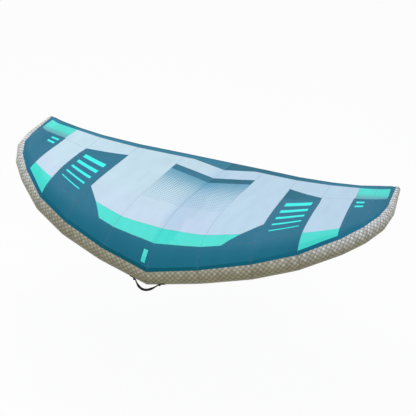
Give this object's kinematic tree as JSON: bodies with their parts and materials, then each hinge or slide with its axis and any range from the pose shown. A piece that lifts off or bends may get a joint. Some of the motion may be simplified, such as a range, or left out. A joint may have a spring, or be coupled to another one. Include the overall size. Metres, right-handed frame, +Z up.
{
  "type": "inflatable foiling wing",
  "caption": "Hand-held inflatable wing with a curved front tube, centre strut, cambered cloth canopy, hard strut handles, nose handle, valve and air hose.",
  "frame": {"origin": "the middle of the front handle's grip, where a hand holds the wing up", "axes": "+X along the span to the wing's right tip, +Y from the nose back to the trailing edge, +Z up, with the nose pitched up three degrees"},
  "size_m": [3.3112, 2.268, 0.4671],
  "materials": {
    "sleeve_weave": "matt woven polyester with a diamond grid",
    "canopy_pale": "thin ripstop cloth, slightly see-through",
    "canopy_teal": "thin ripstop cloth",
    "trim_teal": "folded reinforcing tape",
    "strut_weave": "matt woven polyester",
    "bladder_film": "clear film",
    "bar_alloy": "black anodised tube",
    "grip_foam": "soft foam",
    "webbing": "woven webbing",
    "hose_rubber": "smooth reinforced hose",
    "moulded_grey": "moulded",
    "moulded_black": "moulded",
    "end_cap": "sewn end patch"
  },
  "bodies": {
    "wing": {"air_hose": "hose_rubber", "canopy_gore_left_1": "canopy_pale", "canopy_gore_left_2": "canopy_pale", "canopy_gore_left_3": "canopy_teal", "canopy_gore_left_4": "canopy_pale", "canopy_gore_left_5": "canopy_teal", "canopy_gore_left_6": "canopy_teal", "canopy_gore_right_1": "canopy_pale", "canopy_gore_right_2": "canopy_pale", "canopy_gore_right_3": "canopy_teal", "canopy_gore_right_4": "canopy_pale", "canopy_gore_right_5": "canopy_teal", "canopy_gore_right_6": "canopy_teal", "edge_bladder": "bladder_film", "edge_sleeve_left_1": "sleeve_weave", "edge_sleeve_left_2": "sleeve_weave", "edge_sleeve_left_3": "sleeve_weave", "edge_sleeve_left_4": "sleeve_weave", "edge_sleeve_left_5": "sleeve_weave", "edge_sleeve_left_6": "sleeve_weave", "edge_sleeve_left_7": "sleeve_weave", "edge_sleeve_left_8": "sleeve_weave", "edge_sleeve_right_1": "sleeve_weave", "edge_sleeve_right_2": "sleeve_weave", "edge_sleeve_right_3": "sleeve_weave", "edge_sleeve_right_4": "sleeve_weave", "edge_sleeve_right_5": "sleeve_weave", "edge_sleeve_right_6": "sleeve_weave", "edge_sleeve_right_7": "sleeve_weave", "edge_sleeve_right_8": "sleeve_weave", "front_handle_bar": "bar_alloy", "front_handle_foot_back": "moulded_black", "front_handle_foot_front": "moulded_black", "front_handle_grip": "grip_foam", "hose_clip_body": "moulded_black", "hose_fitting_edge": "moulded_black", "hose_fitting_strut": "moulded_black", "nose_tab_left": "webbing", "nose_tab_right": "webbing", "rear_handle_bar": "bar_alloy", "rear_handle_foot_back": "moulded_black", "rear_handle_foot_front": "moulded_black", "rear_handle_grip": "grip_foam", "seam_band_left": "trim_teal", "seam_band_right": "trim_teal", "strut_bladder": "bladder_film", "strut_sleeve": "strut_weave", "strut_tail_cap": "end_cap", "tip_cap_left": "end_cap", "tip_cap_right": "end_cap", "trailing_hem_left": "trim_teal", "trailing_hem_right": "trim_teal", "valve_base": "moulded_black"},
    "nose_loop": {"nose_loop": "webbing"},
    "valve_insert": {"valve_insert": "moulded_grey"},
    "valve_cap": {"valve_cap": "moulded_black"},
    "clip_lever": {"hose_clip_lever": "moulded_grey"}
  },
  "joints": [
    {"name": "nose_loop_swing", "type": "hinge", "parent": "wing", "child": "nose_loop", "pos_m": [0, -0.64636, -0.09445], "axis": [1, 0, 0], "range_deg": [-55, 85]},
    {"name": "valve_insert_twist", "type": "hinge", "parent": "wing", "child": "valve_insert", "pos_m": [-0.21248, -0.48144, -0.03847], "axis": [-0.0041, 0.8912, -0.4536], "range_deg": [0, 60]},
    {"name": "valve_cap_hinge", "type": "hinge", "parent": "valve_insert", "child": "valve_cap", "pos_m": [-0.23591, -0.45686, -0.04466], "axis": [0.2347, 0.4417, 0.8659], "range_deg": [0, 150]},
    {"name": "hose_clip_lever", "type": "hinge", "parent": "wing", "child": "clip_lever", "pos_m": [0.13047, -0.35841, -0.00769], "axis": [-0.9035, -0.4285, 0], "range_deg": [0, 80]}
  ]
}
